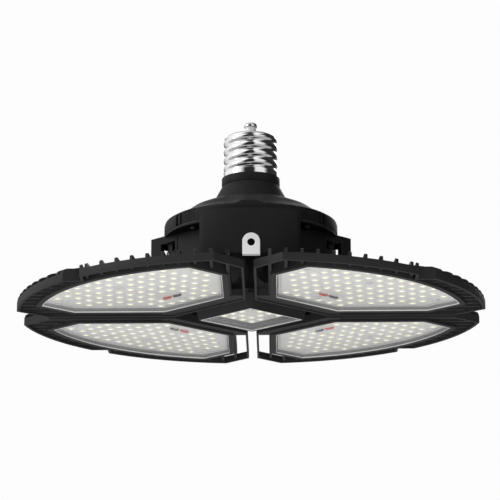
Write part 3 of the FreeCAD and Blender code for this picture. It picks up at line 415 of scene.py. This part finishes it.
def outline(off):
    """Lens outline in the wing's own frame, the same point count for any offset."""
    rad = math.hypot(LD, LE) + off
    s_in = (LA + LB) / S2 - off
    xa = LA - off
    p1 = (xa, s_in * S2 - xa)
    nx, ny = -(LE - LC), (LD - LA)
    n = math.hypot(nx, ny)
    nx, ny = nx / n, ny / n
    px, py = LA + nx * off, LC + ny * off
    tx, ty = (LD - LA) / n, (LE - LC) / n
    p2 = (xa, py + ty * (xa - px) / tx)
    bq = px * tx + py * ty
    t3 = -bq + math.sqrt(bq * bq - (px * px + py * py - rad * rad))
    p3 = (px + tx * t3, py + ty * t3)
    q1, q2, q3 = sw(*p1), sw(*p2), sw(*p3)
    a3 = math.atan2(q3[1], q3[0])
    pts = [(q1[0], -q1[1]), (q2[0], -q2[1])]
    for i in range(41):
        a = -a3 + 2 * a3 * i / 40.0
        pts.append((rad * math.cos(a), rad * math.sin(a)))
    pts += [q2, q1]
    return pts


def cover(name, turn, body, node, shape, z0, face, wall, tall):
    ring_spec = [(-0.45, z0), (-0.13, z0 + 0.13), (0.0, z0 + 0.45), (0.0, z0 + 0.95), (0.0, z0 + tall - 0.15),
                 (-0.15, z0 + tall)]
    if wall:
        ring_spec += [(-wall, z0 + tall), (-wall, z0 + face + 0.25), (-wall - 0.25, z0 + face)]
    v, n = [], None
    for off, z in ring_spec:
        pts = shape(off)
        n = len(pts)
        for s, w in pts:
            x, y = turned(turn, s, w)
            v.append(P(x, y, z))
    f = rings_to_faces(len(ring_spec), n)
    idx = []
    for r in range(len(ring_spec) - 1):
        # the rounded bottom edge rows get the painted-highlight edge material
        idx += [2 if r <= 2 else 1] * n
    idx += [0, 0]
    ob = mesh_piece(name, v, f, [M["lens_face"], M["lens_wall"], M["lens_edge_painted_highlight"]], idx, sharp=50)
    return finish_piece(ob, body, node)


for wn, turn in WINGS:
    cover(wn + "_cover", turn, wn + "_wing", wn + "_lens", outline, 0.0, 1.5, 1.2, 3.0)


def square(half):
    def f(off):
        h, c = half + off, 1.2
        return [(h, -h + c), (h, h - c), (h - c, h), (-h + c, h), (-h, h - c), (-h, -h + c), (-h + c, -h), (h - c, -h)]
    return f


cover("module_cover", 45, "hub", "center_lens", square(25.8), -2.0, 2.0, 0.0, 2.0)


# --------------------------------------------------------------------- LEDs
def led_into(v, f, idx, cx, cy, ztop, side, tall, turn, rot):
    """One package hanging under the board: bevelled frame, recessed phosphor window that shows a painted glow."""
    h = side / 2
    spec = [(h, ztop, 0), (h, ztop - tall + 0.12, 0), (h - 0.12, ztop - tall, 0), (h - 0.34, ztop - tall, 0),
            (h - 0.46, ztop - tall + 0.12, 0), (h - 1.0, ztop - tall - 0.10, 1)]
    base = len(v)
    c, d = math.cos(math.radians(rot)), math.sin(math.radians(rot))
    for hh, z, _k in spec:
        q = min(0.45, hh * 0.25)
        for a, b in ((hh, -hh + q), (hh, hh - q), (hh - q, hh), (-hh + q, hh), (-hh, hh - q), (-hh, -hh + q),
                     (-hh + q, -hh), (hh - q, -hh)):
            x, y = turned(turn, cx + a * c - b * d, cy + a * d + b * c)
            v.append(P(x, y, z))
    f.extend(rings_to_faces(len(spec), 8, base=base))
    for r in range(len(spec) - 1):
        # the lowest rows are the phosphor window with the painted-glow material
        idx.extend([1 if r >= 4 else 0] * 8)
    idx.extend([0, 1])


SCREWS = [(116.5, 64.0), (116.5, -64.0), (66.0, 0.0), (118.0, -6.0)]


def led_points():
    mrg, out = 5.6, []
    n = math.hypot(LD - LA, LE - LC)
    for i in range(20):
        for j in range(-10, 10):
            s, w = 9.4 * (i + 0.5), 10.8 * (j + 0.5)
            x, y = (s - w) / S2, (s + w) / S2
            ok = x > LA + mrg and y > LA + mrg and x + y > LA + LB + mrg * S2 and math.hypot(x, y) < math.hypot(LD, LE) - mrg
            for a, b in ((x, y), (y, x)):
                if ((LD - LA) * (b - LC) - (LE - LC) * (a - LA)) / n > -mrg:
                    ok = False
            for hs, hw in SCREWS:
                if math.hypot(s - hs, w - hw) < 5.6:
                    ok = False
            if 69.5 < s < 80.5 and abs(w) < 13:
                ok = False
            if ok:
                out.append((s, w))
    return out


LEDS = led_points()
for wn, turn in WINGS:
    v, f, idx = [], [], []
    for s, w in LEDS:
        led_into(v, f, idx, s, w, 3.6, 4.2, 0.7, turn, 0)
    ob = mesh_piece(wn + "_led_packages", v, f, [M["led_frame"], M["led_phosphor_painted_glow"]], idx, smooth=False)
    finish_piece(ob, wn + "_wing", wn + "_leds")
v, f, idx = [], [], []
for x in (-18, -9, 0, 9, 18):
    for y in (-18, -9, 0, 9, 18):
        if (abs(x) + abs(y)) > 8 and not (abs(x) == 18 and abs(y) < 8) and not (x < -8 and y < -8):
            led_into(v, f, idx, x, y, 3.3, 4.2, 0.7, 45, 0)
ob = mesh_piece("module_led_packages", v, f, [M["led_frame"], M["led_phosphor_painted_glow"]], idx, smooth=False)
finish_piece(ob, "hub", "center_leds")


# ------------------------------------------------------------------- screws
def screw_into(v, f, cx, cy, zface, zshank, turn, head=2.3, shank=1.45, tall=1.1):
    """Pan head with a cross recess: the recess is a star ring pushed into the dome."""
    n = 32
    spec = []
    for r, z in ((shank, zshank), (shank, zface - 0.02), (head - 0.12, zface - 0.02), (head, zface - 0.2),
                 (head * 0.97, zface - 0.6), (head * 0.82, zface - 0.95), (head * 0.66, zface - tall)):
        spec.append(([r] * n, z))
    star = []
    for i in range(n):
        a = 2 * math.pi * i / n
        k = abs(math.cos(2 * a)) ** 5
        star.append(head * (0.20 + 0.36 * k))
    spec.append((star, zface - tall - 0.0))
    spec.append(([r * 0.82 for r in star], zface - tall + 0.6))
    base = len(v)
    for rr, z in spec:
        for i in range(n):
            a = 2 * math.pi * i / n + 0.35
            x, y = turned(turn, cx + rr[i] * math.cos(a), cy + rr[i] * math.sin(a))
            v.append(P(x, y, z))
    f.extend(rings_to_faces(len(spec), n, base=base))


for wn, turn in WINGS:
    v, f = [], []
    for s, w in SCREWS:
        screw_into(v, f, s, w, 3.6, 6.8, turn)
    ob = mesh_piece(wn + "_pan_screws", v, f, [M["screw_steel"]], sharp=40)
    finish_piece(ob, wn + "_wing", wn + "_board_screws")
v, f = [], []
for x, y in ((-17, 3), (17, -3)):
    screw_into(v, f, x, y, 3.3, 4.8, 45, head=2.2, tall=1.0)
ob = mesh_piece("module_pan_screws", v, f, [M["screw_steel"]], sharp=40)
finish_piece(ob, "hub", "center_board_screws")


# -------------------------------------------------------------------- wires
def tube(name, pts, r, mats, n=14):
    """Closed round tube along smooth points, in mm with lens-plane heights."""
    pv = [Vector(p) for p in pts]
    dense = []
    for i in range(len(pv) - 1):
        p0, p1, p2, p3 = pv[max(i - 1, 0)], pv[i], pv[i + 1], pv[min(i + 2, len(pv) - 1)]
        for k in range(6):
            t = k / 6.0
            dense.append(0.5 * ((2 * p1) + (p2 - p0) * t + (2 * p0 - 5 * p1 + 4 * p2 - p3) * t * t
                                + (3 * p1 - p0 - 3 * p2 + p3) * t ** 3))
    dense.append(pv[-1])
    v = []
    ref = Vector((0, 0, 1))
    for i, p in enumerate(dense):
        tg = (dense[min(i + 1, len(dense) - 1)] - dense[max(i - 1, 0)]).normalized()
        a = tg.cross(ref)
        a = a.normalized() if a.length > 1e-4 else Vector((1, 0, 0))
        b = tg.cross(a).normalized()
        for k in range(n):
            an = 2 * math.pi * k / n
            o = p + a * (r * math.cos(an)) + b * (r * math.sin(an))
            v.append(P(o.x, o.y, o.z))
    return mesh_piece(name, v, rings_to_faces(len(dense), n), mats, sharp=60)


for wn, turn in WINGS:
    for col, sg in (("red", -1.0), ("black", 1.0)):
        pts = []
        for s, w, z in ((75.0, 1.2, 3.3), (74.9, 1.9, 2.75), (75.15, 3.6, 2.6), (74.85, 5.6, 2.6), (75.05, 7.4, 2.65),
                        (75.0, 8.6, 2.9)):
            x, y = turned(turn, s, sg * w)
            pts.append((x, y, z))
        ob = tube(wn + "_wire_" + col, pts, 0.8, [M["wire_" + col]])
        finish_piece(ob, wn + "_wing", wn + "_lead_" + col)
for col, off in (("red", -1.3), ("black", 1.3)):
    u = Vector((-1, -1, 0)).normalized()
    q = Vector((-u.y, u.x, 0)) * off
    pts = []
    for d, z, k in ((15.6, 3.0, 1.0), (16.4, 2.5, 1.0), (18.4, 2.3, 1.12), (20.6, 2.3, 0.95), (22.6, 2.4, 1.0), (23.3, 2.5, 1.0)):
        p = u * d + q * k
        x, y = turned(45, p.x, p.y)
        pts.append((x, y, z))
    ob = tube("module_wire_" + col, pts, 0.85, [M["wire_" + col]])
    finish_piece(ob, "hub", "center_lead_" + col)
